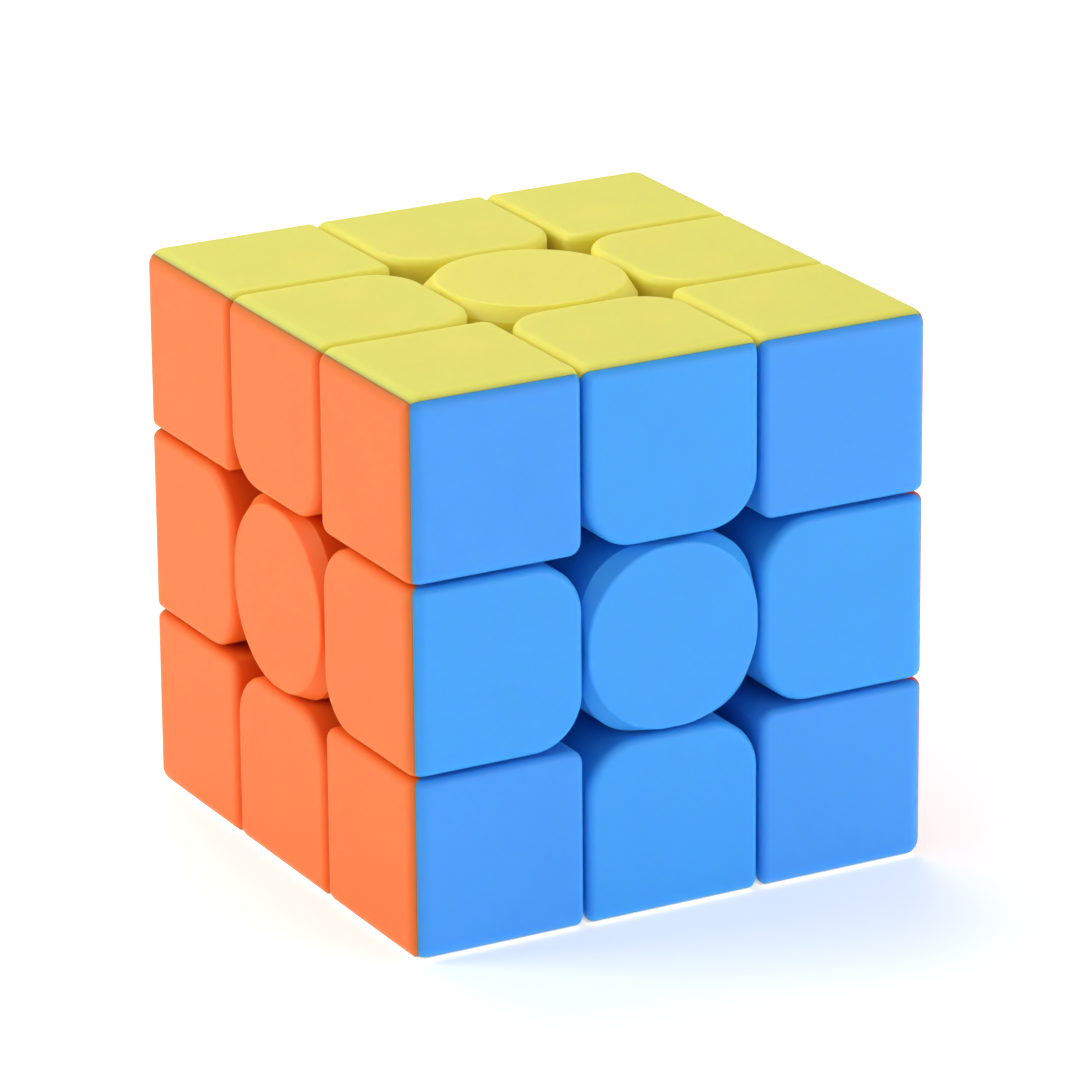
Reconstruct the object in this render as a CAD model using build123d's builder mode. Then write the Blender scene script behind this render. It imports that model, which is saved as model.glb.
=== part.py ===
from build123d import *
import os
from itertools import combinations

# A 3 x 3 x 3 twisty puzzle cube without stickers, in millimetres. It stands on its
# white face with +Z up, and its origin is under the middle of that face.
# Every piece is drawn round the middle of the core and lifted by half the cube at the end.
# Two seam planes on each axis cut the cube into layers, and a sphere round the core is the
# track: the outer blocks stay outside it, and the feet that hold them in stay inside it.
# One corner shell, one edge shell and one centre are drawn, all on the upper face, and the
# others are turned copies of them.

# Driving dimensions
CUBE_SIDE = 56.0  # outside width of the whole cube
LAYER_PLANE = 9.5  # from the core's middle to the seam plane between two layers
LAYER_GAP = 0.4  # clearance across a seam plane
FOOT_PLANE = 5.5  # from the core's middle to the plane between two hidden feet
TRACK_RADIUS = 21.0  # sphere that the feet slide under
TRACK_GAP = 0.3  # clearance across that sphere
FOOT_INNER_RADIUS = 16.2  # nearest that a foot comes to the core's middle
SHELL_WALL = 1.2  # thickness of a coloured shell

# Rounding
OUTER_ROUNDING = 1.7  # along the cube's own twelve edges
RIM_ROUNDING = 0.8  # round each coloured face of an outer piece, along the seams
CORNER_ROUNDING = 1.4  # corner piece, beside the hole at a centre's corner
EDGE_ROUNDING = 5.25  # edge piece, beside the same hole
FOOT_ROUNDING = 0.5
NECK_HALF = 4.0  # half width of the neck between an edge piece's block and its foot
NECK_DEPTH = 8.0

# Centre cap and the stem under it
CAP_TOP_HALF = 9.2  # half width of the round top face
CAP_TOP_ROUNDING = 9.0
CAP_RIM_ROUNDING = 0.3  # the crisp edge between the top face and the flare
CAP_BASE_ROUNDING = 6.2  # squarer outline where the flare ends
CAP_FLARE = 1.4  # depth of the flare between the two outlines
CAP_DEPTH = 6.0  # from the face to where the cap meets its stem
CAP_TOP_WALL = 1.8
CAP_SKIRT_WALL = 1.5
CAP_SEAT_GAP = 0.05  # between the cap's skirt and the stem
CLIP_HEIGHT = 1.5  # raised ring on the stem that the cap snaps over
CLIP_WALL = 1.2
CLIP_CLEARANCE = 0.1
STEM_RADIUS = 4.6
STEM_END = 9.7  # lowest face of the stem, just clear of the core's arm
STEM_FLOOR = 11.5  # face inside the stem that the spring pushes on
POCKET_RADIUS = 3.1
STEM_HOLE_RADIUS = 1.45
COLUMN_ROUNDING = 0.8

# Alignment posts that hold the colour shells of one piece together
POST_RADIUS = 2.0
PIN_RADIUS = 1.0
PIN_LENGTH = 2.5
SOCKET_CLEARANCE = 0.05  # on the radius
SOCKET_EXTRA_DEPTH = 0.3
EDGE_POST_SIDE = 4.5  # from the middle of an edge piece to each post
EDGE_POST_SEAT = 22.0  # both other coordinates of an edge piece's posts
CORNER_POST_SEAT = 21.0  # the two equal coordinates of a corner piece's posts
CORNER_POST_SIDE = 16.5  # their third coordinate

# Core, screws, washers and springs
HUB_RADIUS = 6.0
ARM_RADIUS = 3.6
ARM_END = 9.5
ARM_ROUNDING = 0.4
SCREW_HOLE_RADIUS = 1.25
SCREW_HOLE_END = 4.2
SCREW_TIP = 4.6
SHANK_RADIUS = 1.2
TIP_CHAMFER = 0.5
HEAD_BASE = 18.5
HEAD_RADIUS = 2.6
HEAD_HEIGHT = 1.8
HEAD_ROUNDING = 0.9
RECESS_LENGTH = 3.0
RECESS_WIDTH = 0.8
RECESS_DEPTH = 1.0
WASHER_THICKNESS = 0.5
SPRING_TOP_GAP = 0.05
WASHER_RADIUS = 2.8
WASHER_HOLE_RADIUS = 1.35
SPRING_START = 11.65  # lowest point of the wire, clear of the turning stem
SPRING_RADIUS = 2.3  # to the middle of the wire
WIRE_RADIUS = 0.25
SPRING_TURNS = 5

PYRAMID_TIP = 1.0  # height at which the colour-dividing pyramid starts

# Worked out from the driving dimensions
HALF = CUBE_SIDE / 2
MIDDLE_HALF = LAYER_PLANE - LAYER_GAP / 2  # half width of a piece in a middle layer
OUTER_START = LAYER_PLANE + LAYER_GAP / 2  # inner face of a piece in an outer layer
FOOT_HALF = FOOT_PLANE - LAYER_GAP / 2
FOOT_START = FOOT_PLANE + LAYER_GAP / 2
BLOCK_FLOOR = TRACK_RADIUS + TRACK_GAP / 2  # radius of the blocks' hollow underside
FOOT_TOP = TRACK_RADIUS - TRACK_GAP / 2
CAP_FOOT = HALF - CAP_DEPTH
HOLLOW_START = OUTER_START + SHELL_WALL
HOLLOW_END = HALF - SHELL_WALL
WASHER_BASE = HEAD_BASE - WASHER_THICKNESS
MIN_CORNER = (Align.MIN, Align.MIN, Align.MIN)
UPWARDS = (Align.CENTER, Align.CENTER, Align.MIN)
DOWNWARDS = (Align.CENTER, Align.CENTER, Align.MAX)

# Each face's outward direction and colour
FACES = {
    "up": (Vector(0, 0, 1), "yellow"),
    "down": (Vector(0, 0, -1), "white"),
    "front": (Vector(0, -1, 0), "blue"),
    "back": (Vector(0, 1, 0), "green"),
    "left": (Vector(-1, 0, 0), "orange"),
    "right": (Vector(1, 0, 0), "red"),
}


def foot_block(corner, size):
    """Box from corner, kept between the track sphere and the inner sphere, and rounded."""
    with BuildPart() as foot:
        with Locations(corner):
            Box(*size, align=MIN_CORNER)
        Sphere(FOOT_TOP, mode=Mode.INTERSECT)
        Sphere(FOOT_INNER_RADIUS, mode=Mode.SUBTRACT)
        fillet(foot.edges(), FOOT_ROUNDING)
    return foot.part


def edge_block(half_width, start, end, rounding):
    """Block of an edge piece: one rounded outline seen from above and again from the front.

    Each outline is twice too deep, and the other one cuts it off at end.
    """
    depth = end - start
    seen_from_above = Plane(origin=(0, start, start), x_dir=(1, 0, 0), z_dir=(0, 0, 1))
    seen_from_front = Plane(origin=(0, start, start), x_dir=(1, 0, 0), z_dir=(0, -1, 0))
    with BuildPart() as block:
        with BuildSketch(seen_from_above):
            with Locations((0, depth)):
                RectangleRounded(2 * half_width, 2 * depth, rounding)
        extrude(amount=depth)
        with BuildSketch(seen_from_front):
            with Locations((0, depth)):
                RectangleRounded(2 * half_width, 2 * depth, rounding)
        extrude(amount=-depth, mode=Mode.INTERSECT)
    return block.part


# Corner piece, whole: a block with its three edges beside the holes rounded, the three
# colour-to-colour edges rounded, and one rim that runs unbroken round all its seams.
corner_foot = foot_block((FOOT_START,) * 3, (FOOT_TOP,) * 3)
with BuildPart() as corner_blank:
    with Locations((OUTER_START,) * 3):
        Box(*(HALF - OUTER_START,) * 3, align=MIN_CORNER)
    for nearest, rounding in ((0, CORNER_ROUNDING), (-1, OUTER_ROUNDING)):
        fillet(
            [
                corner_blank.edges().filter_by(axis).sort_by(SortBy.DISTANCE)[nearest]
                for axis in (Axis.X, Axis.Y, Axis.Z)
            ],
            rounding,
        )
    fillet(
        corner_blank.edges().filter_by(
            lambda edge: min(edge.center()) < OUTER_START + CORNER_ROUNDING / 2
            and max(edge.center()) > HALF - OUTER_ROUNDING
        ),
        RIM_ROUNDING,
    )
    add(corner_foot)

# The corner's hollow, crossed by a post at right angles to each plane between two colours
upper_right_seam = Plane(
    origin=(CORNER_POST_SEAT, CORNER_POST_SIDE, CORNER_POST_SEAT), z_dir=(-1, 0, 1)
)
upper_back_seam = Plane(
    origin=(CORNER_POST_SIDE, CORNER_POST_SEAT, CORNER_POST_SEAT), z_dir=(0, -1, 1)
)
right_back_seam = Plane(
    origin=(CORNER_POST_SEAT, CORNER_POST_SEAT, CORNER_POST_SIDE), z_dir=(1, -1, 0)
)
with BuildPart() as corner_hollow:
    with Locations((HOLLOW_START,) * 3):
        Box(*(HOLLOW_END - HOLLOW_START,) * 3, align=MIN_CORNER)
    with Locations(upper_right_seam, upper_back_seam, right_back_seam):
        Cylinder(POST_RADIUS, CUBE_SIDE, mode=Mode.SUBTRACT)

# One third of the corner: the shell whose coloured face is the upper one. It is what lies
# inside a pyramid from the core's middle, whose sides are the planes between two colours.
with BuildPart() as upper_pyramid:
    with BuildSketch(Plane.XY.offset(CUBE_SIDE)):
        Rectangle(2 * CUBE_SIDE, 2 * CUBE_SIDE)
    with BuildSketch(Plane.XY.offset(PYRAMID_TIP)):
        Rectangle(2 * PYRAMID_TIP, 2 * PYRAMID_TIP)
    loft()
with BuildPart() as corner_shell:
    add(corner_blank.part)
    add(corner_hollow.part, mode=Mode.SUBTRACT)
    add(upper_pyramid.part, mode=Mode.INTERSECT)
    with Locations(upper_right_seam):
        Cylinder(PIN_RADIUS, PIN_LENGTH, align=DOWNWARDS)
    with Locations(upper_back_seam):
        Cylinder(
            PIN_RADIUS + SOCKET_CLEARANCE,
            PIN_LENGTH + SOCKET_EXTRA_DEPTH,
            align=UPWARDS,
            mode=Mode.SUBTRACT,
        )

# Edge piece, whole: a block hollowed underneath by the track sphere, a foot that reaches
# under the two centres beside it, and a neck between them
edge_foot = foot_block(
    (-FOOT_HALF, FOOT_START, FOOT_START), (2 * FOOT_HALF, FOOT_TOP, FOOT_TOP)
)
with BuildPart() as edge_neck:
    with Locations((-NECK_HALF, OUTER_START, OUTER_START)):
        Box(2 * NECK_HALF, NECK_DEPTH, NECK_DEPTH, align=MIN_CORNER)
    Sphere(FOOT_INNER_RADIUS + FOOT_ROUNDING, mode=Mode.SUBTRACT)
with BuildPart() as edge_blank:
    add(edge_block(MIDDLE_HALF, OUTER_START, HALF, EDGE_ROUNDING))
    fillet(edge_blank.edges().filter_by(Axis.X).sort_by(SortBy.DISTANCE)[-1], OUTER_ROUNDING)
    fillet(
        edge_blank.edges().filter_by(
            lambda edge: max(edge.center().Y, edge.center().Z) > HALF - OUTER_ROUNDING
            and (
                abs(edge.center().X) > MIDDLE_HALF / 2
                or min(edge.center().Y, edge.center().Z) < OUTER_START + EDGE_ROUNDING
            )
        ),
        RIM_ROUNDING,
    )
    Sphere(BLOCK_FLOOR, mode=Mode.SUBTRACT)
    add(edge_neck.part)
    add(edge_foot)

edge_post_planes = [
    Plane(origin=(side, EDGE_POST_SEAT, EDGE_POST_SEAT), z_dir=(0, -1, 1))
    for side in (EDGE_POST_SIDE, -EDGE_POST_SIDE)
]
with BuildPart() as edge_hollow:
    add(
        edge_block(
            MIDDLE_HALF - SHELL_WALL, HOLLOW_START, HOLLOW_END, EDGE_ROUNDING - SHELL_WALL
        )
    )
    Sphere(BLOCK_FLOOR + SHELL_WALL, mode=Mode.SUBTRACT)
    with Locations(*edge_post_planes):
        Cylinder(POST_RADIUS, CUBE_SIDE, mode=Mode.SUBTRACT)

# Half of the edge: the shell whose coloured face is the upper one
with BuildPart() as edge_shell:
    add(edge_blank.part)
    add(edge_hollow.part, mode=Mode.SUBTRACT)
    split(bisect_by=Plane(origin=(0, 0, 0), z_dir=(0, -1, 1)))
    with Locations(edge_post_planes[0]):
        Cylinder(PIN_RADIUS, PIN_LENGTH, align=DOWNWARDS)
    with Locations(edge_post_planes[1]):
        Cylinder(
            PIN_RADIUS + SOCKET_CLEARANCE,
            PIN_LENGTH + SOCKET_EXTRA_DEPTH,
            align=UPWARDS,
            mode=Mode.SUBTRACT,
        )

# Centre cap: round on top, flaring to a squarer outline, with a straight skirt
with BuildPart() as centre_cap:
    with BuildSketch(Plane.XY.offset(HALF)):
        RectangleRounded(2 * CAP_TOP_HALF, 2 * CAP_TOP_HALF, CAP_TOP_ROUNDING)
    with BuildSketch(Plane.XY.offset(HALF - CAP_FLARE)) as cap_base:
        RectangleRounded(2 * MIDDLE_HALF, 2 * MIDDLE_HALF, CAP_BASE_ROUNDING)
    loft()
    fillet(centre_cap.faces().sort_by(Axis.Z)[-1].edges(), CAP_RIM_ROUNDING)
    extrude(cap_base.sketch, amount=CAP_FLARE + CAP_SEAT_GAP - CAP_DEPTH)
    with BuildSketch(Plane.XY.offset(CAP_FOOT)):
        RectangleRounded(
            *(2 * (MIDDLE_HALF - CAP_SKIRT_WALL),) * 2, CAP_BASE_ROUNDING - CAP_SKIRT_WALL
        )
    extrude(amount=CAP_DEPTH - CAP_TOP_WALL, mode=Mode.SUBTRACT)

# Centre stem: a plate hollowed by the track sphere, a square column below it that the
# feet turn round, and a round spindle with the screw's pocket inside
with BuildPart() as stem_column:
    with BuildSketch(Plane.XY.offset(STEM_END)):
        RectangleRounded(2 * FOOT_HALF, 2 * FOOT_HALF, COLUMN_ROUNDING)
    extrude(amount=CAP_FOOT - STEM_END)
    Sphere(FOOT_INNER_RADIUS, mode=Mode.SUBTRACT)
with BuildPart() as centre_stem:
    with BuildSketch(Plane.XY.offset(CAP_FOOT)):
        RectangleRounded(2 * MIDDLE_HALF, 2 * MIDDLE_HALF, CAP_BASE_ROUNDING)
    extrude(amount=STEM_END - CAP_FOOT)
    Sphere(BLOCK_FLOOR, mode=Mode.SUBTRACT)
    add(stem_column.part)
    with BuildSketch(Plane.XY.offset(STEM_END)):
        Circle(STEM_RADIUS)
    extrude(amount=CAP_FOOT - STEM_END)
    clip_half = MIDDLE_HALF - CAP_SKIRT_WALL - CLIP_CLEARANCE
    clip_rounding = CAP_BASE_ROUNDING - CAP_SKIRT_WALL
    with BuildSketch(Plane.XY.offset(CAP_FOOT)):
        RectangleRounded(2 * clip_half, 2 * clip_half, clip_rounding)
        inner_half = clip_half - CLIP_WALL
        RectangleRounded(
            2 * inner_half, 2 * inner_half, clip_rounding - CLIP_WALL, mode=Mode.SUBTRACT
        )
    extrude(amount=CLIP_HEIGHT)
    with BuildSketch(Plane.XY.offset(STEM_FLOOR)):
        Circle(POCKET_RADIUS)
    extrude(amount=CAP_FOOT - STEM_FLOOR, mode=Mode.SUBTRACT)
    with BuildSketch(Plane.XY.offset(STEM_END)):
        Circle(STEM_HOLE_RADIUS)
    extrude(amount=STEM_FLOOR - STEM_END, mode=Mode.SUBTRACT)

# Round-headed screw with a cross recess
with BuildPart() as screw:
    with BuildSketch(Plane.XY.offset(SCREW_TIP)):
        Circle(SHANK_RADIUS)
    extrude(amount=HEAD_BASE - SCREW_TIP)
    chamfer(screw.edges().sort_by(Axis.Z)[0], TIP_CHAMFER)
    with BuildSketch(Plane.XY.offset(HEAD_BASE)):
        Circle(HEAD_RADIUS)
    extrude(amount=HEAD_HEIGHT)
    fillet(screw.edges().sort_by(Axis.Z)[-1], HEAD_ROUNDING)
    with BuildSketch(Plane.XY.offset(HEAD_BASE + HEAD_HEIGHT)):
        Rectangle(RECESS_LENGTH, RECESS_WIDTH)
        Rectangle(RECESS_WIDTH, RECESS_LENGTH)
    extrude(amount=-RECESS_DEPTH, mode=Mode.SUBTRACT)

with BuildPart() as washer:
    with BuildSketch(Plane.XY.offset(WASHER_BASE)):
        Circle(WASHER_RADIUS)
        Circle(WASHER_HOLE_RADIUS, mode=Mode.SUBTRACT)
    extrude(amount=WASHER_THICKNESS)

# Compression spring between the stem's floor and the washer
with BuildPart() as spring:
    with BuildLine() as coil:
        coil_height = WASHER_BASE - SPRING_TOP_GAP - SPRING_START - 2 * WIRE_RADIUS
        Helix(
            coil_height / SPRING_TURNS,
            coil_height,
            SPRING_RADIUS,
            center=(0, 0, SPRING_START + WIRE_RADIUS),
        )
    with BuildSketch(Plane(origin=coil.line @ 0, z_dir=coil.line % 0)):
        Circle(WIRE_RADIUS)
    sweep(is_frenet=True)


def save(part, name):
    part.label = name
    export_step(part, f"parts/{name}.step")


def place(pieces, outward, sideways, name):
    """Turn upper pieces so that they look along outward, lift them and write them out."""
    with BuildPart() as placed:
        with Locations(Plane(origin=(0, 0, HALF), x_dir=sideways, z_dir=outward)):
            for piece in pieces:
                add(piece.part)
    save(placed.part, name)


os.makedirs("parts", exist_ok=True)

# The core: a hub with six arms, each bored for its screw
with BuildPart() as core:
    Sphere(HUB_RADIUS)
    for outward, colour in FACES.values():
        with BuildSketch(Plane(origin=(0, 0, 0), z_dir=outward)):
            Circle(ARM_RADIUS)
        extrude(amount=ARM_END)
    fillet(core.edges().filter_by(GeomType.CIRCLE), ARM_ROUNDING)
    for outward, colour in FACES.values():
        with BuildSketch(Plane(origin=outward * SCREW_HOLE_END, z_dir=outward)):
            Circle(SCREW_HOLE_RADIUS)
        extrude(amount=ARM_END - SCREW_HOLE_END, mode=Mode.SUBTRACT)
place([core], Vector(0, 0, 1), Vector(1, 0, 0), "core")

# The six screws, the six washers and the six springs, each kind as one group of solids
for name, piece in (("core_screws", screw), ("screw_washers", washer), ("tension_springs", spring)):
    with BuildPart() as group:
        with Locations(*[Plane(origin=(0, 0, HALF), z_dir=way) for way, colour in FACES.values()]):
            add(piece.part)
    save(group.part, name)

# A centre on every face: its cap and, as a second solid, its stem
for face, (outward, colour) in FACES.items():
    place([centre_cap, centre_stem], outward, None, f"centre_{face}_{colour}")

# An edge piece between every two neighbouring faces, as two colour shells
for pair in combinations(FACES, 2):
    first, second = (FACES[face][0] for face in pair)
    if first.dot(second) == 0:
        for face, other in (pair, reversed(pair)):
            outward, colour = FACES[face]
            sideways = FACES[other][0].cross(outward)
            place([edge_shell], outward, sideways, f"edge_{'_'.join(pair)}_{colour}_shell")

# A corner piece where three faces meet, as three colour shells. The two other directions
# are taken in the order that makes a right-handed set, so that pins meet sockets.
for trio in combinations(FACES, 3):
    ways = [FACES[face][0] for face in trio]
    if all(one.dot(another) == 0 for one, another in combinations(ways, 2)):
        for face in trio:
            outward, colour = FACES[face]
            sideways, other = (way for way in ways if way != outward)
            if outward.cross(sideways) != other:
                sideways = other
            place([corner_shell], outward, sideways, f"corner_{'_'.join(trio)}_{colour}_shell")
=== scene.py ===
# %% [markdown]
# A twisty puzzle cube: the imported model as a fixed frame
#
# The cube is already built as a set of separate plastic shells, screws and springs. This
# lesson gives those pieces their finish, makes the small metal parts again in full detail,
# and sets the cube in a plain, bright studio. Loading comes first, because every later cell
# takes its places and sizes from the loaded model.

# %% Load the frame
import math

import bmesh
import bpy
from mathutils import Matrix, Vector


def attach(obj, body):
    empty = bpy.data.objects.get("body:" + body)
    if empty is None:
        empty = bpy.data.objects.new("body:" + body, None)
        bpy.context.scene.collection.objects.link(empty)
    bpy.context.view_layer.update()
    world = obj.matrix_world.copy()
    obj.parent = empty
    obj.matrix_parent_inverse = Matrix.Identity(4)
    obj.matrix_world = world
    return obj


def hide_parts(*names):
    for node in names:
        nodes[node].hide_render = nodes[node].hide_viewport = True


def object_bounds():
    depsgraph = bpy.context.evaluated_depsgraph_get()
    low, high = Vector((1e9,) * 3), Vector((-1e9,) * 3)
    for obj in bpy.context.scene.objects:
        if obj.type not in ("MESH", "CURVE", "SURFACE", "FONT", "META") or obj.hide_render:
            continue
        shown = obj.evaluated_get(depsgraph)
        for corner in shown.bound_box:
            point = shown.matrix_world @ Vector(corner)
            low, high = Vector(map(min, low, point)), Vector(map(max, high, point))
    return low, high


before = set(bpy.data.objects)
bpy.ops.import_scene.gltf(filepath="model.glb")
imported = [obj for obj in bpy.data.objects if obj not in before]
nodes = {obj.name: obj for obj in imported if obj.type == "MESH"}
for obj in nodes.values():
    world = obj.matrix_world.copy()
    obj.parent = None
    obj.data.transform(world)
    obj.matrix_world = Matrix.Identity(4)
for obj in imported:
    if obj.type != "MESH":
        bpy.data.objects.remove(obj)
cad_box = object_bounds()
scene = bpy.context.scene
MM = 0.001
low, high = Vector(cad_box[0]), Vector(cad_box[1])
side = high.z - low.z
middle = Vector((0, 0, low.z + side / 2))
print("nodes", len(nodes), "side in mm", round(side / MM, 2))

# %% [markdown]
# The camera
#
# A puzzle cube in a catalogue is usually shown a little from above and from one side,
# through a long lens that keeps its edges nearly parallel. The camera could be aimed with
# a Track To constraint, but building its matrix from three unit vectors is exact and lets
# it lean by a fraction of a degree. The vectors are: back, from the cube to the camera;
# across, to the camera's right; and up.

# %% Camera
AZIMUTH = math.radians(-28.44)
ELEVATION = math.radians(19.32)
LEAN = math.radians(-0.50)
DISTANCE = 11.77 * side
FIELD_OF_VIEW = math.radians(9.163)
AIM_ACROSS = 0.0129 * side
AIM_UP = 0.0186 * side

back = Vector((
    math.sin(AZIMUTH) * math.cos(ELEVATION),
    -math.cos(AZIMUTH) * math.cos(ELEVATION),
    math.sin(ELEVATION),
))
level = Vector((0, 0, 1)).cross(back).normalized()
upright = back.cross(level)
across = math.cos(LEAN) * level + math.sin(LEAN) * upright
up = math.cos(LEAN) * upright - math.sin(LEAN) * level

camera = bpy.data.objects.new("camera", bpy.data.cameras.new("camera"))
scene.collection.objects.link(camera)
camera.data.sensor_fit = "HORIZONTAL"
camera.data.angle = FIELD_OF_VIEW
camera.data.clip_end = 10
camera.location = middle + back * DISTANCE + across * AIM_ACROSS + up * AIM_UP
camera.rotation_euler = Matrix((across, up, back)).transposed().to_euler()
scene.camera = camera
print("lens", round(camera.data.lens, 1), "distance in mm", round(DISTANCE / MM))

# %% [markdown]
# The studio
#
# A product shot on white needs a floor that is just brighter than white, and faces that are
# each lit by a panel of their own. One option is to light with the world alone, but then
# the rounded edges of the cube come out brighter than its faces. Here the world only fills
# in. A panel on the left lights the orange face, a low one on the right lights the blue
# face, and one over the back lights the top. Nothing shines from where the camera stands,
# so the edges between the faces stay a little darker and the cube looks crisp. The floor
# is a sheet of white paper on a light table: it glows a little, which keeps the shadow
# faint and washes out the colours that the cube throws on the paper.

# %% Floor and lights
WORLD_STRENGTH = 0.47
FLOOR_GLOW = 0.34
LAMP_REACH = 16 * side
LAMP_SIZE = 9 * side
LAMPS = {
    # name: (direction from the cube, strength in watts)
    "top_panel": (Vector((0.1, 0.55, 1.0)), 2.45),
    "left_panel": (Vector((-1.0, 0.45, 0.55)), 3.5),
    "right_panel": (Vector((0.7, -1.0, 0.10)), 3.85),
}
FLOOR_REACH = 60 * side
PAPER_WHITE = (0.97, 0.97, 0.97, 1)
PAPER_ROUGHNESS = 0.9
PAPER_SPECULAR = 0.1


def shader(name):
    """A new material, with its node tree and its Principled shader."""
    material = bpy.data.materials.new(name)
    material.use_nodes = True
    tree = material.node_tree
    return material, tree, tree.nodes["Principled BSDF"]


world = bpy.data.worlds.new("studio")
scene.world = world
world.use_nodes = True
world.node_tree.nodes["Background"].inputs["Color"].default_value = (1, 1, 1, 1)
world.node_tree.nodes["Background"].inputs["Strength"].default_value = WORLD_STRENGTH

for name, (direction, watts) in LAMPS.items():
    lamp = bpy.data.lights.new(name, "AREA")
    lamp.shape = "DISK"
    lamp.size = LAMP_SIZE
    lamp.energy = watts
    holder = bpy.data.objects.new(name, lamp)
    scene.collection.objects.link(holder)
    holder.location = middle + direction.normalized() * LAMP_REACH
    holder.rotation_euler = direction.to_track_quat("Z", "Y").to_euler()

sheet = bmesh.new()
bmesh.ops.create_grid(sheet, x_segments=1, y_segments=1, size=FLOOR_REACH)
floor_mesh = bpy.data.meshes.new("floor")
sheet.to_mesh(floor_mesh)
sheet.free()
floor_mesh.transform(Matrix.Translation((0, 0, low.z)))
floor = bpy.data.objects.new("floor", floor_mesh)
scene.collection.objects.link(floor)
paper, tree, surface = shader("white_paper")
surface.inputs["Base Color"].default_value = PAPER_WHITE
surface.inputs["Roughness"].default_value = PAPER_ROUGHNESS
surface.inputs["Specular IOR Level"].default_value = PAPER_SPECULAR
surface.inputs["Emission Color"].default_value = (1, 1, 1, 1)
surface.inputs["Emission Strength"].default_value = FLOOR_GLOW
floor_mesh.materials.append(paper)
scene.view_settings.view_transform = "Standard"
print("lamps", list(LAMPS))

# %% [markdown]
# Frosted plastic
#
# The shells are moulded in coloured plastic with a fine matt texture from the mould. A
# glossy shader would be wrong, because the real faces show no sharp reflections. The finish
# is one Principled shader for each colour, with the details that the eye notices close up: a
# fine grain in the bump, slightly uneven roughness, a faint drift of the pigment over each
# piece, a very shallow waviness where the plastic shrank as it cooled, and light that
# travels under the surface. That last one matters most: yellow and orange plastic let
# much light through, so their seams glow instead of going black, and blue lets little.

# %% Plastic material
PLASTICS = {
    # colour: (pigment, how far red, green and blue light travel in it, in mm)
    "yellow": ((0.95, 0.80, 0.132), (2.2, 1.8, 0.5)),
    "white": ((0.85, 0.85, 0.84), (1.2, 1.2, 1.1)),
    "blue": ((0.047, 0.372, 0.88), (0.1, 0.3, 0.6)),
    "green": ((0.08, 0.55, 0.16), (0.2, 0.6, 0.2)),
    "orange": ((0.97, 0.170, 0.017), (2.2, 0.8, 0.25)),
    "red": ((0.80, 0.06, 0.09), (1.4, 0.2, 0.2)),
}
# The corners' blue, with a little less green: a painted reflection, not a different plastic.
PAINTED_REFLECTION_BLUE = (0.055, 0.347, 0.875)
GRAIN_SCALE = 9000
GRAIN_DEPTH = 0.01 * MM
DRIFT_SCALE = 110
SINK_SCALE = 160
SINK_DEPTH = 0.02 * MM
PALE_SHARE, DEEP_SHARE = 1.03, 0.96
SMOOTHEST, ROUGHEST = 0.40, 0.60
GRAIN_STRENGTH = 0.25
SINK_STRENGTH = 0.5
PLASTIC_SPECULAR = 0.35


def noise(tree, scale, detail, name):
    """Noise in Object coordinates, which stay fixed to the piece."""
    place = tree.nodes.new("ShaderNodeTexCoord")
    texture = tree.nodes.new("ShaderNodeTexNoise")
    texture.name = name
    texture.inputs["Scale"].default_value = scale
    texture.inputs["Detail"].default_value = detail
    tree.links.new(place.outputs["Object"], texture.inputs["Vector"])
    return texture.outputs["Fac"]


def span(tree, source, low_value, high_value):
    """Map a 0 to 1 output on to low_value to high_value."""
    ranged = tree.nodes.new("ShaderNodeMapRange")
    ranged.inputs["To Min"].default_value = low_value
    ranged.inputs["To Max"].default_value = high_value
    tree.links.new(source, ranged.inputs["Value"])
    return ranged.outputs["Result"]


def blend_colours(tree, factor, first, second):
    """Mix two colours by a factor output."""
    mix = tree.nodes.new("ShaderNodeMix")
    mix.data_type = "RGBA"
    mix.inputs["A"].default_value = (*first, 1)
    mix.inputs["B"].default_value = (*second, 1)
    tree.links.new(factor, mix.inputs["Factor"])
    return mix.outputs["Result"]


def bump(tree, height, depth, strength, under=None):
    """A Bump node. Under is the normal of a coarser bump that this one lies on."""
    node = tree.nodes.new("ShaderNodeBump")
    node.inputs["Strength"].default_value = strength
    node.inputs["Distance"].default_value = depth
    tree.links.new(height, node.inputs["Height"])
    if under:
        tree.links.new(under, node.inputs["Normal"])
    return node.outputs["Normal"]


def frosted_plastic(name, pigment, travel):
    """Moulded plastic of one pigment, that light travels a few millimetres into."""
    material, tree, surface = shader(name)
    drift = noise(tree, DRIFT_SCALE, 2, "pigment_drift")
    pale = tuple(min(1, value * PALE_SHARE) for value in pigment)
    deep = tuple(value * DEEP_SHARE for value in pigment)
    tree.links.new(blend_colours(tree, drift, deep, pale), surface.inputs["Base Color"])
    grain = noise(tree, GRAIN_SCALE, 3, "mould_grain")
    tree.links.new(span(tree, grain, SMOOTHEST, ROUGHEST), surface.inputs["Roughness"])
    sinks = bump(tree, noise(tree, SINK_SCALE, 0, "sink_marks"), SINK_DEPTH, SINK_STRENGTH)
    normal = bump(tree, grain, GRAIN_DEPTH, GRAIN_STRENGTH, sinks)
    tree.links.new(normal, surface.inputs["Normal"])
    surface.inputs["Specular IOR Level"].default_value = PLASTIC_SPECULAR
    surface.inputs["Subsurface Weight"].default_value = 1.0
    surface.inputs["Subsurface Radius"].default_value = travel
    surface.inputs["Subsurface Scale"].default_value = MM
    return material


def wear(piece, finish):
    """Give a piece one material in its only slot."""
    piece.data.materials.clear()
    piece.data.materials.append(finish)


for colour, (pigment, travel) in PLASTICS.items():
    finish = frosted_plastic(f"{colour}_plastic", pigment, travel)
    for name, piece in nodes.items():
        if f"_{colour}" in name:
            wear(piece, finish)
print("coloured", sum(any(f"_{c}" in n for c in PLASTICS) for n in nodes))
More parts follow.
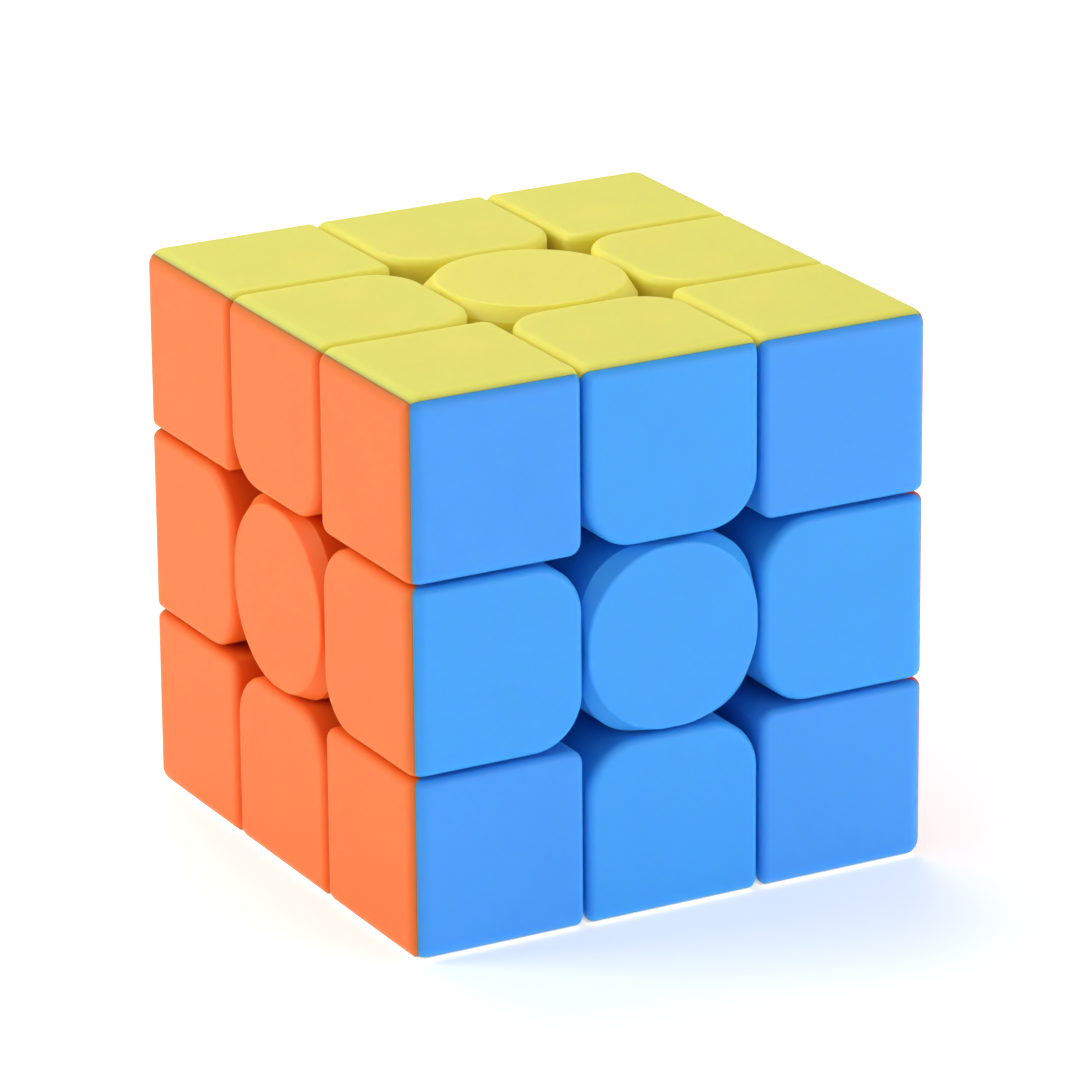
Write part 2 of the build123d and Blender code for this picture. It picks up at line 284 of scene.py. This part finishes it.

# %% [markdown]
# The corner pieces' blue: a painted reflection
#
# Beside the edges, the corners of the blue face look a touch more violet, where a grey
# reflection falls on them. That is a painted reflection: the corners' blue shells get their
# own material from the same function, with a little less green in the pigment.

# %% Blue corner shells
# A copy of the blue plastic with a painted reflection in its pigment, for the corner shells.
painted_reflection_finish = frosted_plastic("blue_corner_painted_reflection", PAINTED_REFLECTION_BLUE, PLASTICS["blue"][1])
blue_corners = [name for name in nodes if name.startswith("corner_") and "_blue" in name]
for name in blue_corners:
    wear(nodes[name], painted_reflection_finish)
print("blue corner shells", len(blue_corners))

# %% [markdown]
# The core's nylon
#
# The six-armed core is hidden until a layer turns. It is usually moulded in uncoloured
# nylon, which is creamy white, a little waxy, and lets light a long way in. The same
# function makes it, with a longer travel than any of the coloured shells.

# %% Core material
core_nylon = frosted_plastic("core_nylon", (0.74, 0.73, 0.68), (2.4, 2.2, 1.8))
wear(nodes["core"], core_nylon)
print("core wears", core_nylon.name)

# %% [markdown]
# Turned and bent metal: the shared tools
#
# A screw, a washer and a spring sit on each of the core's six arms. One of each is modelled
# along the Z axis, with its heights measured from the middle of the cube, and then copied
# to the six directions. They could be drawn as tables of points, but a lathe and a coil
# winder are only one operator here: Spin turns an outline round the axis, and with a step
# upwards at each turn it winds a helix. Everything is in millimetres until it is placed.

# %% Tools for the metal pieces
FULL_TURN = math.tau
LATHE_STEPS = 64
MERGE_DISTANCE = 0.0005
SHARP_ANGLE = math.radians(35)
OUTWARD = {
    "up": Vector((0, 0, 1)),
    "down": Vector((0, 0, -1)),
    "front": Vector((0, -1, 0)),
    "back": Vector((0, 1, 0)),
    "left": Vector((-1, 0, 0)),
    "right": Vector((1, 0, 0)),
}


def outline(shape, points, closed=False):
    """Edges in the XZ plane through points of (radius, height)."""
    corners = [shape.verts.new((radius, 0, height)) for radius, height in points]
    pairs = list(zip(corners, corners[1:]))
    if closed:
        pairs.append((corners[-1], corners[0]))
    return corners + [shape.edges.new(pair) for pair in pairs]


def close_up(shape):
    """Merge the doubles of a spin and point its faces outwards."""
    bmesh.ops.remove_doubles(shape, verts=shape.verts, dist=MERGE_DISTANCE)
    bmesh.ops.recalc_face_normals(shape, faces=shape.faces)


def lathe(points, closed=False):
    """A solid turned round Z. An open outline starts and ends on the axis."""
    shape = bmesh.new()
    bmesh.ops.spin(
        shape,
        geom=outline(shape, points, closed),
        cent=(0, 0, 0),
        axis=(0, 0, 1),
        angle=FULL_TURN,
        steps=LATHE_STEPS,
        use_merge=True,
    )
    close_up(shape)
    return shape


def round_ring(shape, radius, height, rounding, segments):
    """Round the circular edge at a radius and a height."""
    ring = [
        edge
        for edge in shape.edges
        if all(
            abs(corner.co.z - height) < MERGE_DISTANCE
            and abs(corner.co.xy.length - radius) < MERGE_DISTANCE
            for corner in edge.verts
        )
    ]
    bmesh.ops.bevel(
        shape,
        geom=ring,
        offset=rounding,
        segments=segments,
        profile=0.5,
        affect="EDGES",
        material=-1,
    )


def cut_flat(shape, height, upper):
    """Cut a closed shape flat at a height and take away its upper or its lower part."""
    bmesh.ops.bisect_plane(
        shape,
        geom=shape.verts[:] + shape.edges[:] + shape.faces[:],
        plane_co=(0, 0, height),
        plane_no=(0, 0, 1 if upper else -1),
        clear_outer=True,
    )
    rims = [edge for edge in shape.edges if edge.is_boundary]
    bmesh.ops.holes_fill(shape, edges=rims, sides=0)


def settle(shape, name):
    """A mesh from a finished bmesh, with its faces pointing outwards."""
    mesh = bpy.data.meshes.new(name)
    bmesh.ops.recalc_face_normals(shape, faces=shape.faces)
    shape.to_mesh(mesh)
    shape.free()
    return mesh


def place_six(mesh, name, finish, node):
    """Copy a mesh on to the six arms, as pieces that ride on the core. Edges between faces
    that meet at more than SHARP_ANGLE stay crisp, and the rest are shaded smooth."""
    for way, direction in OUTWARD.items():
        piece = bpy.data.objects.new(f"{name}_{way}", mesh.copy())
        turn = direction.to_track_quat("Z", "Y").to_matrix().to_4x4()
        piece.data.transform(Matrix.Translation(middle) @ turn @ Matrix.Scale(MM, 4))
        piece.data.shade_smooth()
        piece.data.set_sharp_from_angle(angle=SHARP_ANGLE)
        scene.collection.objects.link(piece)
        wear(piece, finish)
        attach(piece, "core")
        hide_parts(node)
    print(name, "faces each", len(mesh.polygons))


print("directions", len(OUTWARD), "lathe steps", LATHE_STEPS)

# %% [markdown]
# Plated steel
#
# The screws are zinc plated, the washers stamped from bright sheet, and the springs drawn
# from darker wire. All three are the metal form of the Principled shader, and what tells
# them apart is their colour and their wear. Plating has cloudy patches where it is
# thicker, so its colour and its roughness drift together. Fine scuffs come from a second
# noise, stretched by a Mapping node so that it reads as lines and not as dots.

# %% Steel materials
CLOUD_SCALE = 900
SCUFF_SCALE = (500, 9000, 9000)
SCUFF_DEPTH = 0.004 * MM
SCUFF_STRENGTH = 0.5


def steel(name, bright, dull, smooth, rough):
    """A metal that drifts between two colours and between two roughnesses."""
    material, tree, surface = shader(name)
    surface.inputs["Metallic"].default_value = 1.0
    clouds = noise(tree, CLOUD_SCALE, 3, "plating_clouds")
    tree.links.new(blend_colours(tree, clouds, bright, dull), surface.inputs["Base Color"])
    tree.links.new(span(tree, clouds, smooth, rough), surface.inputs["Roughness"])
    place = tree.nodes.new("ShaderNodeTexCoord")
    stretch = tree.nodes.new("ShaderNodeMapping")
    stretch.inputs["Scale"].default_value = SCUFF_SCALE
    scuffs = tree.nodes.new("ShaderNodeTexNoise")
    scuffs.name = "scuffs"
    scuffs.inputs["Scale"].default_value = 1
    tree.links.new(place.outputs["Object"], stretch.inputs["Vector"])
    tree.links.new(stretch.outputs["Vector"], scuffs.inputs["Vector"])
    normal = bump(tree, scuffs.outputs["Fac"], SCUFF_DEPTH, SCUFF_STRENGTH)
    tree.links.new(normal, surface.inputs["Normal"])
    return material


zinc = steel("zinc_plate", (0.74, 0.76, 0.80), (0.60, 0.60, 0.58), 0.22, 0.42)
bright_sheet = steel("bright_sheet", (0.80, 0.80, 0.80), (0.66, 0.66, 0.67), 0.16, 0.34)
spring_wire = steel("spring_wire", (0.52, 0.53, 0.56), (0.38, 0.38, 0.40), 0.24, 0.46)
print("steels", zinc.name, bright_sheet.name, spring_wire.name)

# %% [markdown]
# The washers
#
# A washer is punched from sheet, and the punch leaves one side of the ring rounded and the
# other crisp. A flat ring could be extruded, but turning a small rectangle round the axis
# makes the same ring in one step. Only its two upper edges are then bevelled.

# %% Washers
SHEET = 0.5
WASHER_TOP = 18.5
WASHER_RADIUS = 2.8
WASHER_HOLE_RADIUS = 1.35
PUNCH_ROUNDING = 0.14
PUNCH_SEGMENTS = 4

ring = lathe(
    [
        (WASHER_HOLE_RADIUS, WASHER_TOP - SHEET),
        (WASHER_RADIUS, WASHER_TOP - SHEET),
        (WASHER_RADIUS, WASHER_TOP),
        (WASHER_HOLE_RADIUS, WASHER_TOP),
    ],
    closed=True,
)
for rim in (WASHER_RADIUS, WASHER_HOLE_RADIUS):
    round_ring(ring, rim, WASHER_TOP, PUNCH_ROUNDING, PUNCH_SEGMENTS)
place_six(
    settle(ring, "washer"), "screw_washer", bright_sheet, "screw_washers"
)

# %% [markdown]
# The springs
#
# A compression spring has its last turn at each end wound tight and ground flat, so that it
# pushes squarely. It could be a curve with a bevel, but then its ends couldn't be ground.
# Instead a circle of wire is wound by Spin three times in a row: one closed turn, the open
# turns, and another closed turn. The wire's ends are filled, and a plane cuts each end of
# the spring flat.

# %% Springs
WIRE_RADIUS = 0.25
COIL_RADIUS = 2.3
SPRING_BASE = 11.65
SPRING_TOP = 17.95
END_INSET = 0.06
WIRE_SIDES = 14
COIL_STEPS = 36
OPEN_TURNS = 3
CLOSED_GAP = 0.01
CLOSED_PITCH = 2 * WIRE_RADIUS + CLOSED_GAP

wire = bmesh.new()
bmesh.ops.create_circle(wire, cap_ends=True, segments=WIRE_SIDES, radius=WIRE_RADIUS)
bmesh.ops.rotate(wire, verts=wire.verts, matrix=Matrix.Rotation(FULL_TURN / 4, 3, "X"))
first_height = SPRING_BASE + END_INSET
bmesh.ops.translate(wire, verts=wire.verts, vec=(COIL_RADIUS, 0, first_height))
open_height = SPRING_TOP - SPRING_BASE - 2 * END_INSET - 2 * CLOSED_PITCH
end = wire.verts[:] + wire.edges[:]
open_pitch = open_height / OPEN_TURNS
for turns, pitch in ((1, CLOSED_PITCH), (OPEN_TURNS, open_pitch), (1, CLOSED_PITCH)):
    wound = bmesh.ops.spin(
        wire,
        geom=end,
        cent=(0, 0, 0),
        axis=(0, 0, 1),
        dvec=(0, 0, pitch / COIL_STEPS),
        angle=FULL_TURN * turns,
        steps=COIL_STEPS * turns,
    )
    end = wound["geom_last"]
close_up(wire)
bmesh.ops.holes_fill(wire, edges=[edge for edge in wire.edges if edge.is_boundary], sides=0)
cut_flat(wire, SPRING_BASE, upper=False)
cut_flat(wire, SPRING_TOP, upper=True)
place_six(
    settle(wire, "spring"), "tension_spring", spring_wire, "tension_springs"
)

# %% [markdown]
# The screws
#
# Each screw has a round head with a cross recess, a smooth neck that the centre spins on,
# and a thread that cuts its own way into the core's nylon. A bump map could fake the
# thread, but its outline would stay straight. One tooth of the thread is drawn as a short
# outline exactly one pitch long and wound like the spring. Each turn then meets the next
# and merges with it into one continuous surface, which is cut flat at both ends.

# %% Screw thread
# Heights and radii are in mm. A flank's start and end are shares of the pitch.
SCREW_TIP = 4.6
THREAD_TOP = 10.6
THREAD_CREST = 1.18
THREAD_ROOT = 0.88
THREAD_PITCH = 0.7
THREAD_STEPS = 40
RISE_START, RISE_END, FALL_START, FALL_END = 0.16, 0.50, 0.60, 0.94
TIP_TAPER = 1.1
TIP_SHARE = 0.55

thread_turns = math.ceil((THREAD_TOP - SCREW_TIP) / THREAD_PITCH) + 1
thread = bmesh.new()
tooth = outline(
    thread,
    [
        (THREAD_ROOT, 0),
        (THREAD_ROOT, RISE_START * THREAD_PITCH),
        (THREAD_CREST, RISE_END * THREAD_PITCH),
        (THREAD_CREST, FALL_START * THREAD_PITCH),
        (THREAD_ROOT, FALL_END * THREAD_PITCH),
        (THREAD_ROOT, THREAD_PITCH),
    ],
)
bmesh.ops.translate(
    thread,
    verts=[part for part in tooth if isinstance(part, bmesh.types.BMVert)],
    vec=(0, 0, SCREW_TIP - THREAD_PITCH),
)
bmesh.ops.spin(
    thread,
    geom=tooth,
    cent=(0, 0, 0),
    axis=(0, 0, 1),
    dvec=(0, 0, THREAD_PITCH / THREAD_STEPS),
    angle=FULL_TURN * thread_turns,
    steps=THREAD_STEPS * thread_turns,
)
close_up(thread)
cut_flat(thread, SCREW_TIP, upper=False)
cut_flat(thread, THREAD_TOP, upper=True)
for corner in thread.verts:
    share = min(1, (corner.co.z - SCREW_TIP) / TIP_TAPER)
    corner.co.xy *= TIP_SHARE + (1 - TIP_SHARE) * share
thread_mesh = settle(thread, "thread")
print("thread turns", thread_turns, "faces", len(thread_mesh.polygons))

# %% [markdown]
# The screw's head and its recess
#
# The head is turned on the lathe with the neck, and its top edge is given a large bevel.
# The cross recess is cut by two tapered blades with Boolean modifiers. An inset and an
# extrusion could also sink it, but only where the faces already follow the cross. The neck
# reaches a tenth of a millimetre over the thread, so no gap shows between them.

# %% Screw head, neck and recess
NECK_RADIUS = 1.2
NECK_END = 10.5
HEAD_BASE = 18.5
HEAD_TOP = 20.3
HEAD_RADIUS = 2.6
HEAD_ROUNDING = 0.9
HEAD_SEGMENTS = 10
SEAT_ROUNDING = 0.15
NECK_ROUNDING = 0.2
SMALL_SEGMENTS = 3
RECESS_LENGTH = 3.0
RECESS_WIDTH = 0.8
RECESS_DEPTH = 1.0
BLADE_TAPER = (0.55, 0.7, 1)  # the blade's narrow end, as shares of its wide one

head = lathe(
    [
        (0, NECK_END),
        (NECK_RADIUS, NECK_END),
        (NECK_RADIUS, HEAD_BASE),
        (HEAD_RADIUS, HEAD_BASE),
        (HEAD_RADIUS, HEAD_TOP),
        (0, HEAD_TOP),
    ]
)
round_ring(head, HEAD_RADIUS, HEAD_TOP, HEAD_ROUNDING, HEAD_SEGMENTS)
round_ring(head, HEAD_RADIUS, HEAD_BASE, SEAT_ROUNDING, SMALL_SEGMENTS)
round_ring(head, NECK_RADIUS, NECK_END, NECK_ROUNDING, SMALL_SEGMENTS)
screw = bpy.data.objects.new("screw", settle(head, "screw"))
scene.collection.objects.link(screw)
blades = []
for quarter in range(2):
    blade = bmesh.new()
    bmesh.ops.create_cube(blade, size=1)
    bmesh.ops.scale(
        blade, verts=blade.verts, vec=(RECESS_LENGTH, RECESS_WIDTH, 2 * RECESS_DEPTH)
    )
    tip = [corner for corner in blade.verts if corner.co.z < 0]
    bmesh.ops.scale(blade, verts=tip, vec=BLADE_TAPER)
    bmesh.ops.rotate(
        blade,
        verts=blade.verts,
        matrix=Matrix.Rotation(quarter * FULL_TURN / 4, 3, "Z"),
    )
    bmesh.ops.translate(blade, verts=blade.verts, vec=(0, 0, HEAD_TOP))
    cutter = bpy.data.objects.new(f"blade_{quarter}", settle(blade, "blade"))
    scene.collection.objects.link(cutter)
    blades.append(cutter)
    recess = screw.modifiers.new("recess", "BOOLEAN")
    recess.operation = "DIFFERENCE"
    recess.object = cutter
bpy.context.view_layer.update()
cut = screw.evaluated_get(bpy.context.evaluated_depsgraph_get())
whole = bmesh.new()
whole.from_mesh(bpy.data.meshes.new_from_object(cut))
whole.from_mesh(thread_mesh)
for scrap in (screw, *blades):
    bpy.data.objects.remove(scrap)
place_six(settle(whole, "core_screw"), "core_screw", zinc, "core_screws")
